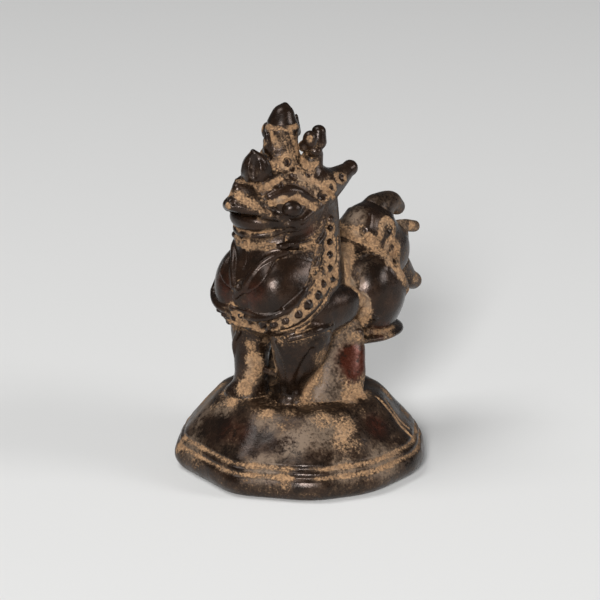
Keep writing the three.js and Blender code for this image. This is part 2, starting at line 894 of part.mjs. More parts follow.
const leftForelegPiece = (grow) => foreleg(leftForeleg, grow);
const rightForelegPiece = (grow) => mirrored(foreleg(rightForeleg, grow));

addMesh("base", basePiece(), bronze);
addMesh("adjusting_plug", plugCylinder(), lead);
place("trunk", trunk);
place("neck", neck);
placePair("haunch", haunch, ["trunk"]);
place("tail_plume", plume, ["trunk", "neck", "haunch"], earthyBronze);
placePair("breast", breastLobe, ["trunk", "neck"]);
place("lower_jaw", jaw);
placePair("eye", eye);
place("head", head, ["lower_jaw", "eye"]);
place("throat_bib", bib, ["trunk", "neck", "breast", "lower_jaw"]);
place("garland", garland, ["trunk", "neck", "breast", "head", "throat_bib"]);
placePair("wing", wing, ["trunk", "haunch", "breast", "garland"]);
place("left_foreleg", leftForelegPiece, ["trunk", "breast", "garland", "wing"], earthyBronze);
place("right_foreleg", rightForelegPiece, ["trunk", "breast", "garland", "wing"], earthyBronze);
placePair(
  "hind_leg",
  hindleg,
  ["trunk", "haunch", "wing", "left_foreleg", "right_foreleg"],
  earthyBronze,
);
placePair("brow", brow, ["head", "eye"]);
place("front_boss", frontBoss, ["head", "brow"]);
place("top_bud", topBud, ["head", "front_boss"]);
placePair("crest_bud", crestBud, ["head", "top_bud"]);
placePair("rear_bud", rearBud, ["head", "brow", "crest_bud"]);
place("tail_tip_upper", upperTip, ["tail_plume"], earthyBronze);
place("tail_tip_middle", middleTip, ["tail_plume", "tail_tip_upper"], earthyBronze);
place("tail_tip_lower", lowerTip, ["tail_plume", "tail_tip_middle"], earthyBronze);

export default weight;
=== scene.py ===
import copy
import math

import bpy
import numpy as np
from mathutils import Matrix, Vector


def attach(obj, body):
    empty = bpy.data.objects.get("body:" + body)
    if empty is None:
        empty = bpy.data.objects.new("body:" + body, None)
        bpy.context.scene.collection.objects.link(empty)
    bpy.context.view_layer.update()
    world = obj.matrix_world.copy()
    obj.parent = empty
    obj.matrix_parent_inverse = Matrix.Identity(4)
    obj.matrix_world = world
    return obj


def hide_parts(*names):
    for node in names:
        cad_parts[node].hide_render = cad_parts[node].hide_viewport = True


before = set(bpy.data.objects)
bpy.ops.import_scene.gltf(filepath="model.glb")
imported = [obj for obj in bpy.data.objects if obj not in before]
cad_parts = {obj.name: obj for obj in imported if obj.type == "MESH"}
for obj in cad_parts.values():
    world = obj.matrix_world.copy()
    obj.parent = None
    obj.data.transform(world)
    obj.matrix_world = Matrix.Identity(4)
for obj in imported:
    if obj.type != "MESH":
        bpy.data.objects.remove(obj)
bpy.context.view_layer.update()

# The beast looks along -Y, its left side is +X, and the origin is the middle of the underside.
# The sculpt is worked out in millimetres and written to the meshes in metres.
MM = 0.001

# How far from its surface a shape is still measured, and the mesh steps of the beast and of the base
FAR = 1.6
FINE = 0.20
COARSE = 0.24


# The photograph's camera, in degrees, mm and pixels, and where a pixel of it lies in the model
view_azimuth = 42.0
view_elevation = 17.5
view_distance = 420.0
view_target = np.array([0, 0, 25.6])
view_width = 91.35
view_pixels = 600


def view_axes():
    """The directions away from the object to the camera, to its right and up."""
    a, e = math.radians(view_azimuth), math.radians(view_elevation)
    away = np.array([math.sin(a) * math.cos(e), -math.cos(a) * math.cos(e), math.sin(e)])
    right = np.array([math.cos(a), math.sin(a), 0])
    return away, right, np.cross(away, right)


def pixel_ray(x, y):
    """The camera's place and the direction from it through a pixel, in mm."""
    away, right, up = view_axes()
    eye = view_target + away * view_distance
    scale = view_width / view_pixels
    middle = view_pixels / 2
    target = view_target + right * (x - middle) * scale + up * (middle - y) * scale
    way = target - eye
    return eye, way / np.linalg.norm(way)


def on_plane(x, y, side=None, forward=None):
    """The point seen at a pixel that has the given side (X) or forward (-Y)."""
    eye, way = pixel_ray(x, y)
    axis, value = (0, side) if forward is None else (1, -forward)
    return eye + way * (value - eye[axis]) / way[axis]


def at_side(side, *pixels):
    """The points seen at the pixels that have the given side, which is 0 in the beast's middle plane."""
    return [on_plane(x, y, side=side) for x, y in pixels]


# Shapes: each gives the distance of points (n, 3) to its surface, negative inside


class Shape:
    """A distance function with the box that holds its surface, and how softly it melts into what came
    before. Beyond margin from its box it counts as out of reach. A joined shape has parts."""

    def __init__(self, distance, low, high, blend, margin=FAR, parts=None):
        self.distance = distance
        self.low = np.asarray(low, float) - margin
        self.high = np.asarray(high, float) + margin
        self.blend = blend
        self.parts = parts


def reached(shapes, points):
    """Each shape that reaches some of the points, with their numbers and its distances to them."""
    low, high = points.min(0), points.max(0)
    for shape in shapes:
        if np.all(shape.low <= high) and np.all(shape.high >= low):
            near = np.flatnonzero(np.all((points > shape.low) & (points < shape.high), axis=1))
            if near.size:
                yield shape, near, shape.distance(points[near])


def turn_matrix(tilt, turn):
    """Degrees about X, then about Z."""
    a, b = math.radians(tilt), math.radians(turn)
    about_x = np.array([[1, 0, 0], [0, math.cos(a), -math.sin(a)], [0, math.sin(a), math.cos(a)]])
    about_z = np.array([[math.cos(b), -math.sin(b), 0], [math.sin(b), math.cos(b), 0], [0, 0, 1]])
    return (about_z @ about_x).astype(np.float32)


def ball(centre, radii, blend=0.4, tilt=0.0, turn=0.0):
    """An ellipsoid."""
    centre = np.asarray(centre, np.float32)
    radii = np.asarray(radii, np.float32)
    matrix = turn_matrix(tilt, turn)

    def distance(points):
        local = (points - centre) @ matrix
        scaled = local / radii
        reach = np.sqrt(np.einsum("ij,ij->i", scaled, scaled)) + 1e-6
        slope = np.sqrt(np.einsum("ij,ij->i", scaled / radii, scaled / radii)) + 1e-6
        return reach * (reach - 1.0) / slope

    spread = np.abs(matrix) @ radii
    return Shape(distance, centre - spread, centre + spread, blend)


def rope(path, radii, blend=0.4, flat=None, flat_by=1.0, margin=FAR):
    """A tube through the points of path, its radius running through radii. With flat, a direction, it is
    flat_by times as thick along that direction."""
    path = np.asarray(path, np.float32)
    count = len(path)
    radii = np.interp(np.linspace(0, 1, count), np.linspace(0, 1, len(radii)), radii).astype(np.float32)
    squeeze = np.eye(3, dtype=np.float32)
    if flat is not None:
        way = np.asarray(flat, np.float32)
        way = way / np.linalg.norm(way)
        squeeze = squeeze + (1.0 / flat_by - 1.0) * np.outer(way, way).astype(np.float32)
    bent = path @ squeeze
    thick = max(1.0, flat_by)
    thin = min(1.0, flat_by)

    def stretch(n):
        """The distance to the stretch from point n to the next."""
        start, along = bent[n], bent[n + 1] - bent[n]
        square = max(float(along @ along), 1e-9)

        def distance(points):
            off = (points if flat is None else points @ squeeze) - start
            share = np.clip(off @ along / square, 0, 1)
            off -= share[:, None] * along
            length = np.sqrt(np.einsum("ij,ij->i", off, off))
            return (length - (radii[n] + share * (radii[n + 1] - radii[n]))) * thin

        ends = path[n : n + 2]
        reach = radii[n : n + 2, None] * thick
        return Shape(distance, (ends - reach).min(0), (ends + reach).max(0), 0, margin)

    parts = [stretch(n) for n in range(count - 1)]

    def distance(points):
        out = np.full(len(points), FAR, np.float32)
        for _, near, gap in reached(parts, points):
            out[near] = np.minimum(out[near], gap)
        return out

    reach = radii[:, None] * thick
    return Shape(distance, (path - reach).min(0), (path + reach).max(0), blend, margin, parts)


def curve(points, count=26):
    """Points along a smooth line through the given ones."""
    points = np.asarray(points, float)
    padded = np.vstack([2 * points[0] - points[1], points, 2 * points[-1] - points[-2]])
    out = []
    for place in np.linspace(0, len(points) - 1, count):
        n = min(int(place), len(points) - 2)
        t = place - n
        a, b, c, d = padded[n : n + 4]
        bent = 2 * b + (c - a) * t + (2 * a - 5 * b + 4 * c - d) * t * t
        out.append(0.5 * (bent + (3 * b - a - 3 * c + d) * t**3))
    return np.array(out)


def soft_min(a, b, width):
    """The smaller of two distances, rounded where they are within width of each other."""
    if width <= 0:
        return np.minimum(a, b)
    share = np.clip(0.5 + 0.5 * (b - a) / width, 0, 1)
    return b + (a - b) * share - width * share * (1 - share)


def soft_max(a, b, width):
    return -soft_min(-a, -b, width)


def carve(a, b, width):
    """The distance a, with the inside of b taken away."""
    return soft_max(a, -b, width)


def plate(skin, region, rise, blend=0.15, rim=0.25):
    """A raised patch with a rounded rim: the skin's shapes grown by rise, inside the region."""

    def distance(points):
        return soft_max(field(points, skin) - rise, region.distance(points), rim)

    return Shape(distance, region.low, region.high, blend, 0)


def mirrored(shape):
    """The same shape on the beast's other side."""
    flip = np.array([-1, 1, 1], np.float32)
    out = copy.copy(shape)
    out.distance = lambda points: shape.distance(points * flip)
    out.low = np.array([-shape.high[0], *shape.low[1:]])
    out.high = np.array([-shape.low[0], *shape.high[1:]])
    if shape.parts:
        out.parts = [mirrored(part) for part in shape.parts]
    return out


def field(points, shapes):
    """The joined distance of the shapes at the points, cut off at FAR."""
    out = np.full(len(points), FAR, np.float32)
    for shape, near, gap in reached(shapes, points):
        out[near] = soft_min(out[near], np.minimum(gap, FAR), shape.blend)
    return out


class Clay:
    """Named groups of shapes that become the pieces, and the cuts through all of them."""

    def __init__(self):
        self.groups = {}
        self.meld = {}
        self.cuts = []

    def add(self, name, *shapes, meld=0.5):
        """Adds shapes to a group. The first ones also say how softly it melds with the other groups."""
        self.groups.setdefault(name, []).extend(shapes)
        self.meld.setdefault(name, meld)

    def add_pair(self, name, *shapes, meld=0.5):
        self.add("left_" + name, *shapes, meld=meld)
        self.add("right_" + name, *(mirrored(shape) for shape in shapes), meld=meld)

    def cut(self, *shapes):
        self.cuts.extend(shapes)

    def whole(self, points):
        """The distance of all the clay at the points."""
        total = np.full(len(points), FAR, np.float32)
        for name, shapes in self.groups.items():
            total = soft_min(total, field(points, shapes), self.meld[name])
        for shape, near, gap in reached(self.cuts, points):
            total[near] = carve(total[near], gap, shape.blend)
        return total


# A piece's own mesh follows the whole beast's surface inside its territory. Beyond it the mesh sinks under
# its neighbours by DIVE for each mm and ends after TUCK mm, so that the seams lie closed in the creases.
DIVE = 1.5
TUCK = 0.25

# The slow unevenness of hand work: its depth and length in mm, the seed of its draw, and the height over
# the underside at which it has its full depth
wave_depth = 0.05
wave_length = 5.0
wave_seed = 4
wave_foot = 1.5


class Block:
    """Values on part of a regular grid: first is the grid index of its lowest corner."""

    def __init__(self, grid, low, high):
        self.grid = grid
        first = np.floor((low - grid.low) / grid.step).astype(int)
        last = np.ceil((high - grid.low) / grid.step).astype(int) + 1
        self.first = np.clip(first, 0, grid.counts - 1)
        self.last = np.clip(last, self.first + 1, grid.counts)
        self.values = np.full(self.last - self.first, FAR, np.float32)

    def blank(self):
        """A block of the same place, with nothing in it."""
        out = copy.copy(self)
        out.values = np.full(self.values.shape, FAR, np.float32)
        return out

    def points(self):
        """The places of the values, one to a row."""
        low, step = self.grid.low, self.grid.step
        axes = [low[n] + step * np.arange(self.first[n], self.last[n]) for n in range(3)]
        return np.stack(np.meshgrid(*axes, indexing="ij"), -1).reshape(-1, 3).astype(np.float32)

    def take(self, other, join, *how):
        """Joins the other block's values into this one where they share the grid."""
        first = np.maximum(self.first, other.first)
        last = np.minimum(self.last, other.last)
        if np.any(first >= last):
            return
        mine = tuple(slice(a, b) for a, b in zip(first - self.first, last - self.first))
        theirs = tuple(slice(a, b) for a, b in zip(first - other.first, last - other.first))
        self.values[mine] = join(self.values[mine], other.values[theirs], *how)


class Grid:
    """A regular grid, on which blocks of distances are worked out."""

    def __init__(self, low, high, step):
        self.low = np.asarray(low, float)
        self.step = step
        self.counts = np.ceil((np.asarray(high) - self.low) / step).astype(int) + 1

    def shape_block(self, shape):
        """The shape's distance over its own box."""
        block = Block(self, shape.low, shape.high)
        for part in shape.parts or [shape]:
            piece = Block(self, part.low, part.high)
            piece.values = part.distance(piece.points()).reshape(piece.values.shape)
            block.take(piece, np.minimum)
        return block

    def group_block(self, shapes):
        """The joined distance of a group of shapes."""
        block = Block(self, np.min([s.low for s in shapes], 0), np.max([s.high for s in shapes], 0))
        for shape in shapes:
            block.take(self.shape_block(shape), soft_min, shape.blend)
        return block


def sample(block, points):
    """The block's values between its grid points."""
    place = (points - block.grid.low) / block.grid.step - block.first
    place = np.clip(place, 0, np.array(block.values.shape) - 1.001)
    base = place.astype(int)
    share = place - base
    out = np.zeros(len(points))
    for corner in range(8):
        offset = np.array([corner >> 2 & 1, corner >> 1 & 1, corner & 1])
        weight = np.prod(np.where(offset, share, 1 - share), axis=1)
        out += weight * block.values[tuple((base + offset).T)]
    return out


def surface_net(values, low, step):
    """Vertices and quads where the values on a grid pass through zero. Its outer faces lie outside."""
    inside = values < 0
    places = []
    rings = []
    for axis in range(3):
        start, end = np.delete(inside, -1, axis), np.delete(inside, 0, axis)
        edges = np.argwhere(start != end)
        a, b = (np.delete(values, n, axis)[tuple(edges.T)] for n in (-1, 0))
        place = edges.astype(float)
        place[:, axis] += a / (a - b)
        places.append(place)

        # The four cells around each edge, in the order that makes their quad face outwards
        one, two = np.delete(np.eye(3, dtype=int), axis, 0)
        ring = np.stack([edges - one - two, edges - two, edges, edges - one], 1)
        forward = start[tuple(edges.T)] ^ (axis == 1)
        rings.append(np.where(forward[:, None, None], ring, ring[:, ::-1]))

    # Each cell's vertex is the middle of the places where its edges pass through zero
    cells = np.ravel_multi_index(np.concatenate(rings).reshape(-1, 3).T, inside.shape)
    corners = np.unique(cells, return_inverse=True)[1]
    places = np.repeat(np.concatenate(places), 4, axis=0)
    total = np.stack([np.bincount(corners, places[:, n]) for n in range(3)], 1)
    return low + step * (total / np.bincount(corners)[:, None]), corners.reshape(-1, 4)


def vertex_normals(vertices, quads):
    """The outward direction at each vertex."""
    across = vertices[quads[:, 2]] - vertices[quads[:, 0]]
    over = vertices[quads[:, 3]] - vertices[quads[:, 1]]
    face = np.cross(across, over)
    normals = np.zeros_like(vertices)
    for n in range(4):
        for axis in range(3):
            normals[:, axis] += np.bincount(quads[:, n], face[:, axis], len(vertices))
    return normals / np.maximum(np.linalg.norm(normals, axis=1, keepdims=True), 1e-9)


def waves(points, length, seed, count=7):
    """A smooth uneven value, about -1 to 1, at each point, with features of the given length in mm."""
    draw = np.random.default_rng(seed)
    total = np.zeros(len(points))
    for _ in range(count):
        way = draw.normal(size=3)
        way *= 2 * math.pi / (length * np.linalg.norm(way) * draw.uniform(0.7, 1.5))
        total += np.sin(points @ way + draw.uniform(0, 2 * math.pi))
    return total / math.sqrt(count)


clay = Clay()


# Picking: the point of the clay's surface that a pixel of the photograph shows. The search along its ray
# starts just short of the object and goes on by a share of the gap, until that is small.
search_start = 380.0
search_rounds = 110
search_close = 0.01
search_share = 0.8
search_steps = (0.02, 1.2)


def on_clay(pixels):
    """Points on the clay and their outward directions, for a list of (x, y) pixels."""
    rays = [pixel_ray(x, y) for x, y in pixels]
    eye = rays[0][0]
    ways = np.array([way for _, way in rays])
    reach = np.full(len(pixels), search_start)
    best = reach.copy()
    closest = np.full(len(pixels), 1e3)
    landed = np.zeros(len(pixels), bool)
    for _ in range(search_rounds):
        gap = clay.whole((eye + ways * reach[:, None]).astype(np.float32))
        better = (gap < closest) & ~landed
        best[better] = reach[better]
        closest[better] = gap[better]
        landed |= gap < search_close
        reach = np.where(landed, reach, reach + np.clip(gap * search_share, *search_steps))
    points = eye + ways * best[:, None]
    return points, slope_of(points)


def slope_of(points, span=0.1):
    """The outward direction at points near the surface."""
    out = np.zeros_like(points)
    for axis in range(3):
        shift = np.zeros(3)
        shift[axis] = span
        ahead = clay.whole((points + shift).astype(np.float32))
        behind = clay.whole((points - shift).astype(np.float32))
        out[:, axis] = ahead - behind
    return out / np.maximum(np.linalg.norm(out, axis=1, keepdims=True), 1e-9)


def under_clay(pixels, depth):
    """Points at a depth below the clay's surface, for a list of (x, y) pixels."""
    points, ways = on_clay(pixels)
    return points - ways * depth


# Base
base_top = 11.8
base_corners = [10, 48, 77, 111, 146, 182, 217, 253, 288, 324]
base_top_radius = 12.5
base_line_radius = 19.3
base_line_height = 4.4
base_widest = 20.3
base_widest_height = 1.5
base_foot = 18.8
base_corner_rounding = 0.1
base_top_rounding = 1.4
base_line_rounding = 0.8
base_widest_rounding = 1.2
base_foot_rounding = 0.4
line_heights = [4.9, 3.7]
line_depth = 0.3
line_rounding = 0.1
plug_back = 7.88
plug_radius = 3.4
plug_depth = 2.88


def base_distance(points):
    """A ten-sided block with uneven sides: a slope out from its top, a flared band and a rounded foot."""
    height = points[:, 2]
    radius = np.hypot(points[:, 0], points[:, 1]) + 1e-6
    reach = np.zeros(len(points), np.float32)
    for first, last in zip(base_corners, [*base_corners[1:], base_corners[0] + 360]):
        azimuth = math.radians((first + last) / 2)
        opening = math.cos(math.radians((last - first) / 2))
        out = points[:, 0] * math.sin(azimuth) - points[:, 1] * math.cos(azimuth)
        reach = soft_max(reach, out / (radius * opening), base_corner_rounding)
    reach = reach * radius

    def wall(low_radius, low_height, high_radius, high_height):
        run = low_radius - high_radius
        rise = high_height - low_height
        return ((reach - low_radius) * rise + (height - low_height) * run) / math.hypot(run, rise)

    slope = wall(base_line_radius, base_line_height, base_top_radius, base_top)
    band = wall(base_widest, base_widest_height, base_line_radius, base_line_height)
    foot = wall(base_foot, 0, base_widest, base_widest_height)
    side = soft_max(soft_max(slope, band, base_line_rounding), foot, base_widest_rounding)
    for line in line_heights:
        side = soft_max(side, line_depth - np.hypot(side, height - line), line_rounding)
    return soft_max(soft_max(side, height - base_top, base_top_rounding), -height, base_foot_rounding)


def plug_hole(points):
    """The hole in the underside that the lead plug fills."""
    from_axis = np.hypot(points[:, 0], points[:, 1] - plug_back)
    return np.maximum(from_axis - plug_radius, points[:, 2] - plug_depth)


base_reach = [base_widest, base_widest, base_top]
clay.add("base", Shape(base_distance, [-base_widest, -base_widest, 0], base_reach, 0))
hole_low = [-plug_radius, plug_back - plug_radius, 0]
clay.cut(Shape(plug_hole, hole_low, [plug_radius, plug_back + plug_radius, plug_depth], 0.1))

# Torso
clay.add(
    "trunk",
    ball((0, -4.3, 28.9), (8.2, 9.4, 7.9)),
    rope(curve([(0, 0, 27.2), (0, 6, 26.8), (0, 11, 27.0), (0, 15.5, 27.4)]), [6.6, 6.3, 6.4, 5.0], 1.5),
    ball((0, 10.6, 18.9), (8.7, 9.4, 1.4), 0.9, tilt=-3),
    meld=0.6,
)
neck_path = curve([(0, -3.0, 31), (0, -2.6, 35), (0, -2.0, 39), (0, -1.4, 42.5)])
clay.add("neck", rope(neck_path, [7.6, 7.1, 6.6, 5.8], 1.0, flat=(0, 1, 0), flat_by=1.22), meld=1.6)
clay.add_pair("haunch", ball((5.1, 11.4, 25.0), (4.1, 5.7, 6.4), tilt=-6), meld=0.35)
clay.add_pair("breast", ball((3.2, -5.9, 29.2), (5.3, 7.8, 7.0)))
chest = [shape for name in ("trunk", "neck", "left_breast", "right_breast") for shape in clay.groups[name]]
bib_cone = rope(curve([(0, -13.5, 40.5), (0, -14.4, 35.5), (0, -15.2, 30.0)]), [7.4, 5.6, 0.6])
clay.add("throat_bib", plate(chest, bib_cone, 0.35), meld=0.15)

# Wings
wing_path = curve([(5.4, -7.0, 24.6), (6.3, -2.6, 25.3), (6.9, 2.2, 25.7), (7.3, 5.6, 25.4)])
clay.add_pair("wing", rope(wing_path, [2.6, 3.9, 3.0, 0.4], 0.4, flat=(1, 0, 0), flat_by=0.66))

# Legs
near_leg = curve([(3.8, -6.3, 11.9), (4.0, -6.0, 15.0), (4.5, -5.6, 18.6), (4.8, -5.2, 22.0)])
toward_camera = (0.67, -0.74, 0)
clay.add(
    "left_foreleg",
    rope(near_leg, [1.4, 2.0, 3.5, 4.6], 0.4, flat=toward_camera, flat_by=0.95),
    ball((3.6, -6.6, 12.0), (1.9, 1.9, 0.9), 0.8),
    meld=0.7,
)
far_leg = curve([(-3.7, -7.4, 11.9), (-3.6, -7.1, 15.0), (-3.9, -6.6, 18.6), (-4.4, -5.6, 22.0)])
clay.add(
    "right_foreleg",
    rope(far_leg, [2.8, 2.5, 2.7, 3.6], 0.4),
    ball((-4.2, -7.9, 11.9), (3.2, 3.0, 1.3), 1.2),
    meld=0.7,
)
hindleg_path = curve([(7.2, -0.8, 11.8), (7.0, 0.4, 15.0), (6.5, 2.0, 18.4), (5.8, 3.6, 22.0)])
clay.add_pair(
    "hind_leg",
    rope(hindleg_path, [2.25, 2.15, 1.8, 1.2], 0.4, flat=(0.54, 0.84, 0), flat_by=2.15),
    meld=0.9,
)
strut = [on_plane(266, 370, forward=7.6), on_plane(281, 375, forward=7.0)]
clay.add("right_foreleg", rope(strut, [0.6, 0.5], 0.3))

# Head
lip_path = [(4.9, -9.4, 41.6), (3.9, -11.4, 42.1), (2.3, -13.3, 42.9), (1, -14.5, 43.5), (0, -14.9, 43.8)]
rim_path = [(4.6, -8.2, 39.5), (3.9, -9.8, 39.1), (2.6, -11.3, 38.8), (1.2, -12.1, 38.7), (0, -12.3, 38.7)]
upper_lip = rope(curve(lip_path), [0.5, 0.75, 0.85, 0.9, 0.85], 0.5)
jaw_rim = rope(curve(rim_path), [0.5, 0.5, 0.45, 0.4], 0.4)
cheek = ball((3.1, -4.6, 41.0), (3.5, 5.8, 3.2), 1.0)
clay.add(
    "head",
    ball((0, -3.4, 43.6), (5.9, 8.0, 5.3)),
    cheek,
    mirrored(cheek),
    ball((0, -8.2, 43.4), (4.9, 4.4, 2.7), 0.9),
    ball((0, -12.0, 43.7), (2.8, 3.0, 1.6), 0.9),
    rope([(0, -9.2, 44.0), (0, -13.4, 45.0)], [2.0, 1.2], 0.9),
    rope([(0, -12.2, 44.8), (0, -13.7, 46.2)], [1.2, 0.4], 1.0),
    ball((0, -9.3, 40.7), (4.4, 3.9, 2.3), 0.3),
    upper_lip,
    mirrored(upper_lip),
    meld=0.6,
)
clay.cut(ball((0, -14.2, 42.1), (4.7, 2.9, 0.4), 0.3, tilt=-6))
clay.add(
    "lower_jaw",
    rope([(0, -6, 39.0), (0, -9.4, 38.9)], [1.5, 1.1], 0.8, flat=(1, 0, 0), flat_by=3.2),
    ball((0, -10.4, 38.7), (2.6, 2.0, 0.7), 0.6),
    jaw_rim,
    mirrored(jaw_rim),
    meld=0.2,
)
eye_centre = on_plane(291.5, 209, side=5.45)
clay.add_pair("eye", ball(eye_centre, (1.6, 1.2, 1.3), 0, turn=48), meld=0.05)
lid_seen = [(272, 203), (280, 199), (289, 197), (298, 198), (307, 203), (314, 210)]
brow_seen = [(265, 199), (272, 195), (281, 192), (293, 191), (305, 195), (317, 202)]
lid_path = curve(under_clay(lid_seen, 0.15), 12)
brow_path = curve(under_clay(brow_seen, 0.2), 12)
clay.add_pair(
    "brow",
    rope(brow_path, [0.6, 0.85, 0.9, 0.8, 0.4]),
    rope(lid_path, [0.35, 0.5, 0.55, 0.5, 0.3], 0.12),
    meld=0.2,
)

# Crest: the front boss is a leaf with a rolled rim
clay.add(
    "front_boss",
    ball(on_plane(255.5, 171, side=0), (2.3, 1.8, 2.7), tilt=8),
    rope(at_side(0, (256, 164), (253, 151.5)), [1.7, 0.4], 0.9),
    meld=0.4,
)
clay.add(
    "top_bud",
    rope(at_side(0, (280, 172), (281, 150)), [3.6, 2.7], 0.5),
    rope(at_side(0, (282, 144), (282, 130)), [2.2, 2.6], 0.5),
    rope(curve(at_side(0, (282, 125), (283, 116), (285, 106))), [2.3, 1.8, 0.6], 0.15),
    rope(at_side(0, (296, 132), (296, 116)), [0.7, 0.3], 0.5),
    rope(at_side(0, (267, 150), (267, 134)), [0.7, 0.4], 0.6),
    meld=0.6,
)
clay.add_pair(
    "crest_bud",
    rope(at_side(3.4, (309, 174), (313, 155)), [2.0, 1.5], 0.4),
    rope(at_side(3.7, (318, 141), (319, 132)), [1.35, 1.1], 0.3),
    ball(on_plane(310, 140, side=4.2), (1.1, 1.1, 1.4), 0.3),
    ball(on_plane(304, 146, side=3.4), (0.9, 0.9, 0.9), 0.2),
    ball(on_plane(315, 151, side=4.5), (1.1, 1.1, 0.9), 0.2),
)
rear_root = at_side(4.0, (318, 187), (329, 183))
rear_end = [on_plane(341, 175, side=4.1), on_plane(349, 169, side=4.2)]
clay.add_pair(
    "rear_bud",
    rope(curve(rear_root + rear_end), [3.0, 2.3, 1.5, 1.0], 0.5),
    ball(on_plane(350, 168, side=4.2), (1.2, 1.2, 1.2), 0.2),
    meld=0.8,
)

# Tail
clay.add(
    "tail_plume",
    ball((0, 15.6, 32.4), (4.2, 5.6, 5.4), tilt=-12),
    ball(on_plane(379, 250, side=0), (4.4, 5.3, 5.0), 1.2),
    meld=0.8,
)
tips = {
    "upper": ([(377, 208), (389, 202), (397, 206)], [2.3, 1.8, 1.3], 0.8),
    "middle": ([(394, 236), (402, 226), (414, 226)], [2.2, 1.0, 0.95], 0.6),
    "lower": ([(397, 264), (406, 276), (413, 280)], [2.1, 1.7, 1.4], 0.6),
}
for name, (seen, radii, meld) in tips.items():
    clay.add("tail_tip_" + name, rope(curve(at_side(0, *seen)), radii), meld=meld)


# Garland: a broad swag round the chest, from behind the jaw down to the middle of the front
garland_neck = [(331, 222), (332, 240), (331, 256), (327, 274)]
garland_breast = [(318, 292), (303, 308), (284, 319), (262, 323), (243, 318)]
garland_half = list(under_clay(garland_neck + garland_breast, 0.2))
garland_half.append(np.array([0, garland_half[-1][1] - 0.4, garland_half[-1][2] - 0.2]))
garland_path = curve(garland_half + [p * [-1, 1, 1] for p in reversed(garland_half[:-1])], 64)
garland_tube = rope(garland_path, [1.0, 1.3, 1.6, 1.9, 1.9, 1.9, 1.6, 1.3, 1.0])
clay.add("garland", plate(chest, garland_tube, 0.4), meld=0.15)


# Chased detail, laid on the surface where the photograph shows it and repeated on the far side

chasing = []

# The shape of each line, with its earth and how far that spreads
lined = {}

# A line this short, in pixels, is a round dot. A line melts into the clay over its blend and is out of
# reach beyond its margin, in mm.
dot_length = 0.1
line_blend = 0.15
line_margin = 0.6


def chase(piece, pixels, radius, rise=None, sink=None, both=True, earth=None, spread=0.22):
    """A raised line (rise) or a cut line (sink) along the pixels, in mm. It holds earth, or sheds it where
    earth is below 0, as far as spread beside it."""
    if earth is None:
        earth = 0.3 if sink is None else 0.4
    chasing.append((piece, pixels, radius, rise, sink, both, earth, spread))


def dot(piece, x, y, radius, **how):
    """A round dot, raised or sunk."""
    chase(piece, [(x, y), (x + dot_length, y)], radius, **how)


def loop(x, y, wide, tall, turn=0.0, count=14):
    """The pixels of an oval, turned clockwise in the picture."""
    out = []
    for n in range(count + 1):
        angle = 2 * math.pi * n / count
        across, down = wide * math.cos(angle), tall * math.sin(angle)
        c, s = math.cos(math.radians(turn)), math.sin(math.radians(turn))
        out.append((x + across * c - down * s, y + across * s + down * c))
    return out


def eyelet(piece, x, y, wide, tall, turn=0.0, both=True):
    """A raised oval ring of earth with a dark sunk middle."""
    chase(piece, loop(x, y, wide, tall, turn), 0.28, rise=0.2, both=both, earth=0.6)
    dot(piece, x, y, 0.09 * (wide + tall), sink=0.2, both=both, earth=-0.9, spread=0.1)


def boss(piece, x, y, size):
    """A round dark stud in a sunk ring of earth, size in pixels."""
    chase(piece, loop(x, y, size + 1.3, size + 1.3), 0.28, sink=0.22, earth=0.55, spread=0.3)
    dot(piece, x, y, size * 0.15, rise=0.3, earth=-1.3, spread=0.1)


# The face
chase("head", [(258, 187), (264, 198), (271, 206), (278, 216), (287, 222)], 0.55, sink=0.4, earth=0.2)
chase("head", [(324, 221), (321, 230), (315, 238), (303, 243), (288, 244)], 0.4, rise=0.3, earth=0.4)
chase("neck", [(327, 222), (324, 232), (317, 241), (305, 246), (288, 247)], 0.45, sink=0.35, earth=-0.3)
chase("head", [(321, 206), (312, 213), (303, 221)], 0.6, rise=0.3, earth=0.1)
under_eye = [(272, 205), (276, 210), (282, 215), (292, 218), (302, 215), (307, 209)]
chase("head", under_eye, 0.35, sink=0.3, earth=-0.3)
chase("head", [(259, 186), (269, 180), (280, 174)], 0.45, rise=0.3, both=False)
chase("head", [(266, 188), (272, 184), (281, 179)], 0.3, sink=0.22, both=False)
chase("head", [(269, 188), (276, 184), (285, 181), (297, 181), (309, 184), (323, 193)], 0.32, rise=0.25)
chase("head", [(300, 177), (312, 181), (325, 188), (334, 199)], 0.32, sink=0.22)
chase("head", [(234, 203), (235, 203)], 0.5, sink=0.4, earth=-0.5)
chase("head", [(264, 205), (267, 211)], 0.35, sink=0.3, earth=-0.2)
chase("head", [(288, 229), (292, 229)], 0.35, sink=0.2, earth=0)
eyelet("head", 287, 162, 3.5, 5)
eyelet("head", 293, 177, 6, 2.2)
eyelet("head", 278, 186, 6, 2.5, -30)
eyelet("rear_bud", 331, 188, 4.5, 4.5)
eyelet("rear_bud", 322, 195, 6.5, 3.6, 30)
eyelet("rear_bud", 341, 178, 5, 3.2, 25)
for x, y in ((270, 158), (308, 176), (292, 169), (266, 152), (288, 163)):
    dot("head", x, y, 0.35, sink=0.2, earth=-0.8, spread=0.1)

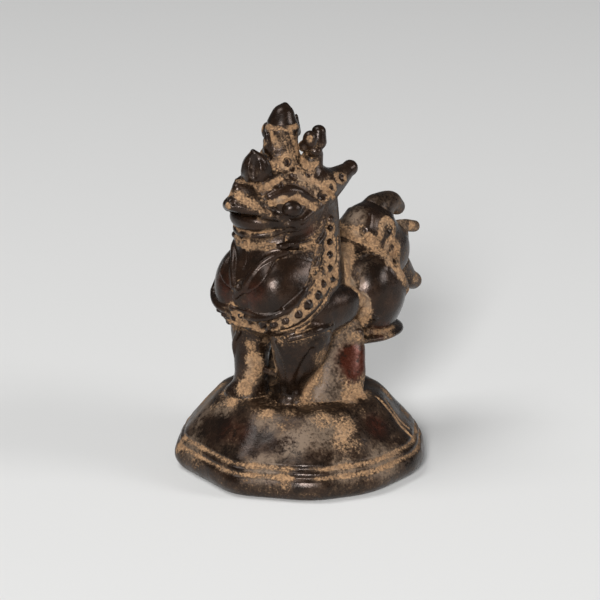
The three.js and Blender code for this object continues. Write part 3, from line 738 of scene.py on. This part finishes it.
# The crest
leaf_rim = [(255, 153), (262, 157), (268, 165), (270, 175)]
chase("front_boss", leaf_rim, 0.5, rise=0.35, both=False, earth=-0.9)
chase("front_boss", [(252, 154), (246, 160), (242, 170), (243, 180)], 0.3, rise=0.2, both=False, earth=0.2)
chase("front_boss", [(254, 162), (254, 176)], 1.0, sink=0.4, both=False, earth=0, spread=0.6)
chase("top_bud", [(267, 127), (275, 128), (286, 128), (298, 126)], 0.3, sink=0.25, earth=0.6)
chase("top_bud", [(271, 134), (278, 146)], 0.25, sink=0.2)
chase("top_bud", [(290, 130), (294, 141)], 0.25, sink=0.2)
chase("crest_bud", [(303, 160), (309, 166), (317, 163)], 0.3, sink=0.2)

# The throat and the breast
chase("neck", [(238, 243), (254, 247), (272, 246), (300, 248), (315, 243)], 0.45, rise=0.3, earth=0.3)
chase("neck", [(281, 246), (297, 246)], 0.55, rise=0.55, earth=-0.9, spread=0.1)
eyelet("neck", 245, 243, 2.6, 2.6)
bib_edge = [(286, 252), (272, 257), (260, 265), (251, 276), (243, 288), (235, 296)]
chase("throat_bib", bib_edge, 0.6, rise=0.45, earth=-0.2)
eyelet("throat_bib", 240, 285, 5.5, 2.6, -50, both=False)
chase("throat_bib", [(247, 248), (247, 262), (244, 268)], 0.25, sink=0.2, both=False, earth=0.2)
chase("throat_bib", [(229, 257), (223, 266), (220, 276)], 0.3, rise=0.2, both=False)

# The garland
inner_edge = [(319, 248), (316, 262), (311, 278), (304, 292)]
inner_edge += [(294, 304), (280, 314), (262, 319), (245, 317), (231, 307)]
outer_edge = [(338, 238), (338, 262), (335, 283), (328, 298)]
outer_edge += [(317, 312), (303, 325), (285, 331), (262, 331), (243, 325)]
chase("garland", inner_edge, 0.5, rise=0.4, earth=0.35)
chase("garland", outer_edge, 0.35, rise=0.3, earth=0.35)
chase("garland", [(284, 309), (297, 298), (304, 291)], 0.55, rise=0.5, earth=-0.7)
studs = [
    (331, 228, 2.6), (331, 242, 3.0), (331, 255, 3.2), (331, 268, 3.4), (333, 279, 3.4),
    (324, 284, 3.8), (319, 295, 4.6), (309, 305, 5.0), (299, 315, 4.4), (286, 322, 3.2),
    (274, 326, 3.0), (262, 326, 3.0), (250, 323, 2.8), (239, 317, 2.4),
]
for x, y, size in studs:
    boss("garland", x, y, size)
boss("garland", 315, 273, 2.2)

# Wing, foreleg, waist, haunch and ledge
chase("foreleg", [(277, 343), (285, 360), (289, 378), (290, 391)], 0.5, rise=0.3, earth=-0.2)
chase("foreleg", [(312, 350), (302, 366), (296, 380), (295, 392)], 0.5, sink=0.3, earth=-0.2)
chase("wing", [(289, 339), (304, 335), (319, 330), (332, 326)], 0.45, rise=0.35, earth=0.5)
waist = [(348, 246), (347, 262), (347, 275), (351, 286), (359, 295), (365, 304), (366, 312)]
chase("trunk", waist, 0.9, rise=0.3, earth=0.8, spread=0.45)
chase("haunch", [(360, 256), (370, 253), (380, 256), (388, 262)], 0.4, rise=0.2, earth=0.45)
for x, y in ((366, 313), (373, 317), (362, 325), (368, 331), (358, 332)):
    chase("trunk", [(x, y), (x + 2, y + 1)], 0.55, rise=0.35, earth=-0.1)
for x, y in ((342, 379), (349, 384), (357, 388), (362, 394), (345, 391)):
    chase("hind_leg", [(x, y), (x + 1, y + 3)], 0.6, rise=0.35, earth=0.4)

# Tail
eyelet("tail_plume", 363, 231, 5, 2.8, 35)
eyelet("tail_plume", 368, 239, 3, 2.6)
upper_loop = [(381, 236), (382, 224), (388, 219), (393, 224), (394, 232), (391, 238)]
lower_loop = [(387, 264), (386, 251), (388, 242), (394, 241), (398, 249), (397, 270)]
plume_band = [(350, 232), (358, 236), (366, 240), (374, 246)]
plume_band += [(384, 255), (394, 266), (402, 278), (406, 288)]
chase("tail_plume", upper_loop, 0.4, rise=0.32, earth=0.7)
chase("tail_plume", [(387, 227), (389, 230)], 0.4, sink=0.25, earth=-0.4, spread=0.1)
chase("tail_plume", lower_loop, 0.4, rise=0.32, earth=0.7)
chase("tail_plume", [(391, 248), (393, 264)], 0.45, sink=0.25, earth=-0.5, spread=0.15)
chase("tail_plume", plume_band, 0.8, rise=0.5, earth=0.7, spread=0.4)
chase("tail_plume", [(371, 214), (369, 228)], 0.4, rise=0.2, earth=-0.9)

# Cracks in the base
chase("base", [(340, 410), (341, 420), (336, 427), (328, 431)], 0.22, sink=0.15, both=False, earth=-0.2)
chase("base", [(377, 397), (390, 411), (402, 426), (412, 439)], 0.25, sink=0.18, both=False, earth=0.6)
chase("base", [(386, 400), (397, 416), (409, 428)], 0.2, sink=0.14, both=False, earth=0.6)


def lay_chasing():
    """Puts the chased lines on the surface, all measured on the plain clay first."""
    pixels = [pixel for item in chasing for pixel in item[1]]
    points, ways = on_clay(pixels)
    place = 0
    for piece, line, radius, rise, sink, both, earth, spread in chasing:
        part = slice(place, place + len(line))
        place += len(line)
        lift = rise - radius if sink is None else radius - sink
        path = points[part] + ways[part] * lift
        near_side = path[path[:, 0] > 0]

        def bead(stretch):
            return rope(curve(stretch, 4 * len(line)), [radius, radius], line_blend, margin=line_margin)

        sides = [bead(path)]
        if both and len(near_side) > 1:
            sides.append(mirrored(bead(near_side)))
        lined.update((side, (earth, spread)) for side in sides)
        if sink is not None:
            clay.cut(*sides)
        elif piece in clay.groups:
            clay.add(piece, *sides)
        else:
            for hand, side in zip(("left_", "right_"), sides):
                clay.add(hand + piece, side)


lay_chasing()

# Earth lies on the upper lids
lid = rope(lid_path, [0.4, 0.55, 0.5, 0.3])
lined.update({lid: (0.9, 0.2), mirrored(lid): (0.9, 0.2)})


def sculpt(grid):
    """The blocks of every group of the clay, and one block of the whole beast."""
    blocks = {}
    whole = Block(grid, grid.low, grid.low + grid.step * (grid.counts - 1))
    for name, shapes in clay.groups.items():
        blocks[name] = grid.group_block(shapes)
        whole.take(blocks[name], soft_min, clay.meld[name])
    for shape in clay.cuts:
        whole.take(grid.shape_block(shape), carve, shape.blend)
    return blocks, whole


def add_object(name, data):
    """A new object in the scene."""
    item = bpy.data.objects.new(name, data)
    bpy.context.scene.collection.objects.link(item)
    return item


def make_piece(name, blocks, whole):
    """The mesh of one piece, with its patina attributes."""
    grid = whole.grid
    own = blocks[name]
    out = own.blank()
    out.take(whole, lambda a, b: b)
    others = own.blank()
    for other, block in blocks.items():
        if other != name:
            others.take(block, np.minimum)
    beyond = (own.values - others.values) / 2
    values = np.maximum(out.values + DIVE * np.maximum(0, beyond), beyond - TUCK)
    for axis in range(3):
        for edge in (0, -1):
            np.moveaxis(values, axis, 0)[edge] = FAR
    low = grid.low + grid.step * own.first
    vertices, quads = surface_net(values, low, grid.step)
    lift = wave_depth * waves(vertices, wave_length, wave_seed) * np.clip(vertices[:, 2] / wave_foot, 0, 1)
    vertices += vertex_normals(vertices, quads) * lift[:, None]
    mesh = bpy.data.meshes.new(name + "_sculpt")
    mesh.from_pydata((vertices * MM).tolist(), [], quads.tolist())
    mesh.shade_smooth()
    add_patina(mesh, name, vertices, vertex_normals(vertices, quads), whole)
    return add_object(name + "_sculpt", mesh)


# Patina: where earth lies, where the metal is polished, where it is red and where shade is painted, from
# the sculpt's own form and from patches laid where the photograph shows them. A patch fades out at this
# many times its size.
patch_reach = 1.6


def patches(spots):
    """The places of the spots on both sides of the beast, with their sizes in mm and their amounts."""
    points, _ = on_clay([spot[:2] for spot in spots])
    pixel = view_width / view_pixels
    out = []
    for point, (_, _, size, amount) in zip(points, spots):
        out.append((point, size * pixel, amount))
        out.append((point * [-1, 1, 1], size * pixel, amount))
    return out


def patch_values(points, laid):
    """What the patches add up to at the points."""
    out = np.zeros(len(points))
    for centre, size, amount in laid:
        near = np.flatnonzero(np.all(np.abs(points - centre) < size * patch_reach, axis=1))
        gap = np.linalg.norm(points[near] - centre, axis=1) / size
        out[near] += amount * np.clip(patch_reach - gap, 0, 1) ** 2 * np.clip(2 - gap, 0, 1)
    return out


def line_values(points):
    """The earth that the chased lines hold or shed at the points."""
    out = np.zeros(len(points))
    for line, near, gap in reached(lined, points):
        earth, spread = lined[line]
        out[near] += earth * np.exp(-((np.maximum(gap, 0) / spread) ** 2))
    return out


# Spots in the photograph: x, y and size in pixels, and the amount
earth_spots = [
    (290, 160, 14, 0.5), (276, 166, 8, 0.5), (305, 178, 12, 0.45), (328, 186, 10, 0.5),
    (338, 176, 6, 0.4), (283, 138, 8, 0.55), (266, 143, 5, 0.4), (310, 139, 4, 0.9), (312, 165, 6, 0.4),
    (298, 198, 7, 0.6), (283, 199, 5, 0.6), (314, 206, 6, 0.5), (237, 194, 5, 0.6), (242, 199, 7, 0.7),
    (251, 204, 7, 0.7), (261, 209, 7, 0.7), (271, 213, 5, 0.6), (227, 206, 4, 0.9), (254, 152, 3, 1.2),
    (268, 232, 7, 0.55), (248, 235, 5, 0.4), (245, 246, 7, 0.3), (266, 247, 7, 0.3), (315, 240, 5, 0.4),
    (328, 262, 12, 0.25), (322, 286, 12, 0.25), (296, 318, 9, 0.45), (349, 255, 6, 0.8),
    (349, 272, 6, 0.8), (354, 288, 6, 0.8), (363, 302, 6, 0.6), (364, 320, 7, 0.45),
    (356, 340, 9, 0.35), (390, 337, 9, 0.45), (362, 215, 9, 0.25), (388, 225, 7, 0.5),
    (392, 250, 9, 0.5), (402, 272, 7, 0.45), (372, 240, 7, 0.4), (412, 226, 6, 0.8), (416, 278, 6, 0.5),
    (254, 360, 9, 1.2), (252, 376, 8, 1.0), (244, 388, 9, 0.8), (250, 345, 7, 0.6), (280, 345, 8, 0.35),
    (322, 358, 12, 0.35), (316, 378, 12, 0.3), (305, 396, 9, 0.35), (348, 398, 9, 0.6),
    (266, 418, 12, 0.5), (278, 430, 10, 0.4), (288, 412, 8, 0.4), (322, 420, 11, 0.55),
    (345, 425, 13, 0.65), (340, 442, 11, 0.55), (358, 444, 7, 0.4), (405, 412, 10, 0.45),
    (388, 394, 9, 0.55), (415, 430, 8, 0.45), (180, 446, 10, 0.55), (232, 402, 5, 0.8),
    (196, 462, 10, 0.3), (385, 462, 16, 0.3), (345, 470, 12, 0.25), (250, 466, 9, 0.25),
]
# Polish spots make the metal darker and smoother on worn high points. The spots at (300, 365) and (292,
# 366) paint shade on the near foreleg, and the one at (355, 358) paints shade on the hind leg's back edge.
polish_and_shade_spots = [
    (282, 290, 24, 0.9), (262, 300, 16, 0.7), (300, 268, 14, 0.6), (240, 262, 12, 0.7),
    (226, 280, 10, 0.7), (345, 308, 16, 0.9), (320, 322, 10, 0.6), (285, 115, 12, 0.8),
    (319, 134, 9, 0.9), (352, 168, 6, 0.8), (300, 232, 12, 0.6), (250, 222, 10, 0.7),
    (291, 209, 7, 1.2), (255, 170, 12, 0.6), (280, 190, 6, 0.5), (380, 285, 20, 0.7),
    (395, 305, 14, 0.7), (365, 210, 14, 0.4), (300, 365, 10, 0.8), (290, 445, 12, 0.8),
    (215, 425, 20, 0.8), (378, 430, 14, 0.8), (303, 475, 12, 0.7), (262, 326, 14, 0.6),
    (241, 316, 9, 0.45), (282, 322, 8, 0.3), (355, 358, 15, 0.9), (292, 366, 20, 0.6),
    (300, 390, 8, 0.4), (273, 195, 6, 0.5), (290, 190, 6, 0.5), (305, 193, 6, 0.4), (292, 215, 9, 0.6),
    (288, 246, 6, 0.5),
]
red_spots = [
    (354, 359, 19, 1.8), (352, 378, 13, 1.3), (256, 292, 12, 0.35), (248, 302, 10, 0.25),
    (375, 425, 14, 0.6), (230, 430, 14, 0.3), (380, 330, 12, 0.6), (310, 228, 8, 0.4),
]
# Dust spots lay a pale brown film. The negative ones at (356, 360) and (352, 378) take the film away to
# paint shade on the hind leg's back edge, where the red spots give it red patina.
dust_and_shade_spots = [
    (356, 360, 15, -0.7), (352, 378, 10, -0.4), (358, 214, 17, 0.4), (350, 234, 10, 0.4),
    (349, 262, 8, 0.4), (372, 272, 16, 0.5), (254, 172, 9, 0.6), (292, 444, 15, 0.8),
    (385, 462, 22, 0.6), (345, 470, 16, 0.5), (320, 430, 22, 0.6), (266, 424, 16, 0.5),
    (195, 445, 18, 0.5), (232, 225, 8, 0.3), (256, 378, 10, 0.5),
]
earth_patches = patches(earth_spots)
polish_and_shade_patches = patches(polish_and_shade_spots)
red_patches = patches(red_spots)
dust_and_shade_patches = patches(dust_and_shade_spots)


# How much earth, and how much dust, lies all over each kind of piece
grime = {
    "base": 0.2, "tail_plume": 0.1, "tail_tip_upper": 0.1, "tail_tip_middle": 0.4,
    "tail_tip_lower": 0.35, "hind_leg": 0.15, "foreleg": 0.15, "rear_bud": 0.1, "crest_bud": 0.05,
    "neck": 0.1, "garland": 0.1, "trunk": 0.1, "breast": -0.25, "wing": -0.3, "throat_bib": -0.15,
    "front_boss": -0.1, "eye": -0.6, "haunch": -0.05,
}
dustiness = {"hind_leg": 0.5, "tail_tip_middle": 0.5, "tail_tip_upper": 0.3, "base": 0.15, "head": 0.1}

# The earth in the two lines of the base, and how far it spreads
line_earth = 0.3
line_spread = 0.24

# Hollows and edges are felt for at these depths in mm, each with its share
probes = ((0.35, 0.4), (0.8, 0.35), (1.4, 0.25))


def add_patina(mesh, name, points, normals, whole):
    """Point attributes from 0 to about 1: hollow, edge, earth, dust and red."""
    kind = name.removeprefix("left_").removeprefix("right_")
    earth = grime.get(kind, 0) + line_values(points)
    # Polish patches take earth away; on the near foreleg and on the hind leg's back edge this paints
    # shade.
    earth += patch_values(points, earth_patches) - patch_values(points, polish_and_shade_patches)
    if name == "base":
        for line in line_heights:
            earth += line_earth * np.exp(-(((points[:, 2] - line) / line_spread) ** 2))
    hollow = np.zeros(len(points))
    edge = np.zeros(len(points))
    for depth, share in probes:
        hollow += share * np.clip(1 - sample(whole, points + normals * depth) / depth, 0, 1)
        edge += share * np.clip(1 + sample(whole, points - normals * depth) / depth, 0, 1)
    values = {"hollow": hollow, "edge": edge, "earth": earth}
    # Negative dust patches paint shade on the hind leg's back edge.
    values["dust"] = dustiness.get(kind, 0) + patch_values(points, dust_and_shade_patches)
    values["red"] = patch_values(points, red_patches)
    for title, numbers in values.items():
        mesh.attributes.new(title, "FLOAT", "POINT").data.foreach_set("value", numbers.astype(np.float32))


class Nodes:
    """Short ways to build a node tree."""

    def __init__(self, owner):
        self.tree = owner.node_tree
        self.place = self.make("ShaderNodeTexCoord").outputs["Object"]

    def make(self, kind, inputs=None, **settings):
        node = self.tree.nodes.new(kind)
        for name, value in settings.items():
            setattr(node, name, value)
        for name, value in (inputs or {}).items():
            self.put(node.inputs[name], value)
        return node

    def put(self, socket, value):
        if isinstance(value, bpy.types.NodeSocket):
            self.tree.links.new(value, socket)
        else:
            socket.default_value = value

    def math(self, operation, *values, clamp=False):
        node = self.make("ShaderNodeMath", operation=operation, use_clamp=clamp)
        for n, value in enumerate(values):
            self.put(node.inputs[n], value)
        return node.outputs[0]

    def plus(self, value, extra, amount):
        """The value, and amount times the extra one."""
        return self.math("MULTIPLY_ADD", extra, amount, value)

    def vary(self, value, noise, amount):
        """The value, moved up and down by amount times a noise whose middle is 0.5."""
        return self.plus(value, self.math("SUBTRACT", noise, 0.5), amount)

    def noise(self, size, detail, roughness):
        """Noise with features of about size mm, from 0 to 1."""
        inputs = {"Vector": self.place, "Scale": 1 / (size * MM), "Detail": detail, "Roughness": roughness}
        return self.make("ShaderNodeTexNoise", inputs, noise_dimensions="3D").outputs["Fac"]

    def attribute(self, name):
        return self.make("ShaderNodeAttribute", attribute_name=name).outputs["Fac"]

    def ramp(self, value, low, high):
        """0 below low, 1 above high, smooth between."""
        inputs = {"Value": value, "From Min": low, "From Max": high}
        node = self.make("ShaderNodeMapRange", inputs, interpolation_type="SMOOTHSTEP")
        return node.outputs["Result"]

    def mix(self, share, first, second, kind="RGBA"):
        inputs = {"Factor": share, "A": first, "B": second}
        return self.make("ShaderNodeMix", inputs, data_type=kind).outputs["Result"]

    def stain(self, under, over, noise, low, high, strength=1.0):
        """The colour over laid on under, from none where the noise is low to strength where it is high."""
        share = self.ramp(noise, low, high)
        if strength < 1:
            share = self.math("MULTIPLY", share, strength)
        return self.mix(share, under, over)

    def relief(self, shader, height, strength):
        """Bumps of the given height in mm on the shader."""
        node = self.make("ShaderNodeBump", {"Height": height, "Distance": MM, "Strength": strength})
        self.put(shader.inputs["Normal"], node.outputs["Normal"])


def colour(red, green, blue):
    return (red, green, blue, 1)


def new_material(name):
    """A material and its shader."""
    material = bpy.data.materials.new(name)
    material.use_nodes = True
    return material, material.node_tree.nodes["Principled BSDF"]


def patina():
    """Dark polished bronze, brown and red in places, with pale earth in its hollows and rough parts."""
    material, shader = new_material("bronze_patina")
    nodes = Nodes(material)
    cloud = nodes.noise(4.0, 4, 0.6)
    spot = nodes.noise(1.1, 4, 0.65)
    grain = nodes.noise(0.35, 3, 0.6)
    fine = nodes.noise(0.12, 2, 0.5)
    worn = nodes.plus(nodes.plus(-0.85, grain, 1.6), spot, 1.8)
    dusted = nodes.math("MULTIPLY", nodes.attribute("dust"), worn)

    # How much earth: more in hollows and patches, less on worn edges, broken up by grain
    cover = nodes.plus(nodes.attribute("earth"), nodes.attribute("hollow"), 1.15)
    cover = nodes.plus(cover, nodes.attribute("edge"), -0.35)
    cover = nodes.vary(cover, cloud, 0.8)
    film = nodes.ramp(nodes.vary(nodes.plus(dusted, cover, 0.7), spot, 0.6), 0.0, 0.95)
    grit = nodes.vary(nodes.vary(nodes.vary(cover, spot, 1.0), grain, 1.6), fine, 0.9)
    earth = nodes.ramp(grit, 0.45, 0.95)

    # Dark metal with red places, a thin brown and dusty film over it, and the pale earth on top
    dark = nodes.stain(colour(0.013, 0.007, 0.004), colour(0.031, 0.015, 0.008), cloud, 0.35, 0.7)
    dark = nodes.stain(dark, colour(0.06, 0.03, 0.016), spot, 0.5, 0.75, 0.4)
    rust = nodes.math("MULTIPLY", nodes.attribute("red"), nodes.ramp(spot, 0.3, 0.6), clamp=True)
    dark = nodes.mix(rust, dark, colour(0.07, 0.015, 0.006))
    brown = nodes.stain(colour(0.05, 0.029, 0.016), colour(0.125, 0.074, 0.04), grain, 0.35, 0.65)
    brown = nodes.stain(brown, colour(0.2, 0.142, 0.098), dusted, 0.1, 0.8)
    dark = nodes.mix(nodes.math("MULTIPLY", film, 0.85), dark, brown)
    pale = nodes.stain(colour(0.17, 0.098, 0.052), colour(0.44, 0.26, 0.13), grain, 0.3, 0.7)
    pale = nodes.stain(pale, colour(0.26, 0.188, 0.128), cloud, 0.5, 0.8)
    pale = nodes.stain(pale, colour(0.12, 0.068, 0.034), fine, 0.5, 0.7, 0.4)
    pale = nodes.stain(pale, colour(0.13, 0.073, 0.037), spot, 0.48, 0.64, 0.5)
    nodes.put(shader.inputs["Base Color"], nodes.mix(earth, dark, pale))

    # Earth is rough and no metal
    polish = nodes.vary(0.25, grain, 0.2)
    polish = nodes.plus(polish, nodes.ramp(spot, 0.45, 0.8), 0.12)
    polish = nodes.plus(polish, film, 0.3)
    nodes.put(shader.inputs["Roughness"], nodes.mix(earth, polish, 0.85, "FLOAT"))
    metal = nodes.math("MULTIPLY", nodes.math("SUBTRACT", 1.0, earth), 0.5)
    nodes.put(shader.inputs["Metallic"], metal)
    shader.inputs["Specular IOR Level"].default_value = 0.45

    # Casting skin: small dents and pits, and a gritty crust where the earth lies
    height = nodes.plus(nodes.math("MULTIPLY", spot, 0.05), grain, 0.022)
    height = nodes.plus(height, nodes.math("MULTIPLY", earth, fine), 0.06)
    nodes.relief(shader, nodes.plus(height, earth, 0.03), 0.9)
    return material


def lead():
    """Dull grey metal, hammered flat, with a pale bloom."""
    material, shader = new_material("lead")
    nodes = Nodes(material)
    spot = nodes.noise(1.2, 4, 0.6)
    grain = nodes.noise(0.3, 3, 0.6)
    grey = nodes.stain(colour(0.085, 0.085, 0.09), colour(0.20, 0.20, 0.195), spot, 0.35, 0.65)
    grey = nodes.stain(grey, colour(0.33, 0.31, 0.27), grain, 0.55, 0.75)
    nodes.put(shader.inputs["Base Color"], grey)
    nodes.put(shader.inputs["Roughness"], nodes.plus(0.45, spot, 0.3))
    shader.inputs["Metallic"].default_value = 0.6
    nodes.relief(shader, nodes.plus(nodes.math("MULTIPLY", spot, 0.12), grain, 0.05), 0.8)
    return material


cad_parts["adjusting_plug"].material_slots[0].material = lead()
bronze = patina()

# The boxes that the beast and the base are meshed in
beast = sculpt(Grid([-10.6, -18.6, 10.4], [10.6, 29.6, 58.6], FINE))
base = sculpt(Grid([-20.7, -20.7, -0.8], [20.7, 20.7, 15.0], COARSE))
for name in clay.groups:
    piece = make_piece(name, *(base if name == "base" else beast))
    piece.data.materials.append(bronze)
    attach(piece, "root")
    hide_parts(name)


# Stage: each lamp's place and size in metres and its power in watts, and how strongly the world shines on
# the object and in the camera's view
lamps = {
    "key": ((0.79, -1.21, 0.71), 0.37, 24.3),
    "fill": ((-0.32, -0.48, 1.2), 0.64, 7.7),
    "back": ((0.86, 0.47, 0.47), 0.36, 3.6),
}
world_light = 0.14
world_seen = 0.9
floor_half = 1.2
middle = Vector(view_target * MM)


def floor():
    """A plain pale square under the object."""
    mesh = bpy.data.meshes.new("floor")
    corners = [(x * floor_half, y * floor_half, 0) for x, y in ((-1, -1), (1, -1), (1, 1), (-1, 1))]
    mesh.from_pydata(corners, [], [(0, 1, 2, 3)])
    material, shader = new_material("pale_floor")
    shader.inputs["Base Color"].default_value = colour(0.75, 0.75, 0.74)
    shader.inputs["Roughness"].default_value = 0.9
    mesh.materials.append(material)
    add_object("floor", mesh)


def lamp(name, place, size, power):
    """A square lamp that shines on the object's middle."""
    light = bpy.data.lights.new(name, "AREA")
    light.size = size
    light.energy = power
    holder = add_object(name, light)
    holder.location = place
    holder.rotation_euler = (middle - Vector(place)).to_track_quat("-Z", "Y").to_euler()


def camera():
    """The photograph's camera."""
    away = Vector(view_axes()[0])
    data = bpy.data.cameras.new("camera")
    data.sensor_width = 36
    data.lens = data.sensor_width * view_distance / view_width
    data.clip_start = 0.01
    data.clip_end = 10
    holder = add_object("camera", data)
    holder.location = middle + away * (view_distance * MM)
    holder.rotation_euler = (-away).to_track_quat("-Z", "Y").to_euler()
    bpy.context.scene.camera = holder


def studio():
    """A pale world that lights the object less than the camera sees."""
    world = bpy.data.worlds.new("studio")
    bpy.context.scene.world = world
    world.use_nodes = True
    nodes = Nodes(world)
    background = world.node_tree.nodes["Background"]
    background.inputs["Color"].default_value = colour(0.8, 0.8, 0.82)
    seen = nodes.make("ShaderNodeLightPath").outputs["Is Camera Ray"]
    inputs = {"Value": seen, "To Min": world_light, "To Max": world_seen}
    strength = nodes.make("ShaderNodeMapRange", inputs).outputs["Result"]
    nodes.put(background.inputs["Strength"], strength)


floor()
camera()
for name, (place, size, power) in lamps.items():
    lamp(name, place, size, power)
studio()
bpy.context.scene.view_settings.view_transform = "Standard"
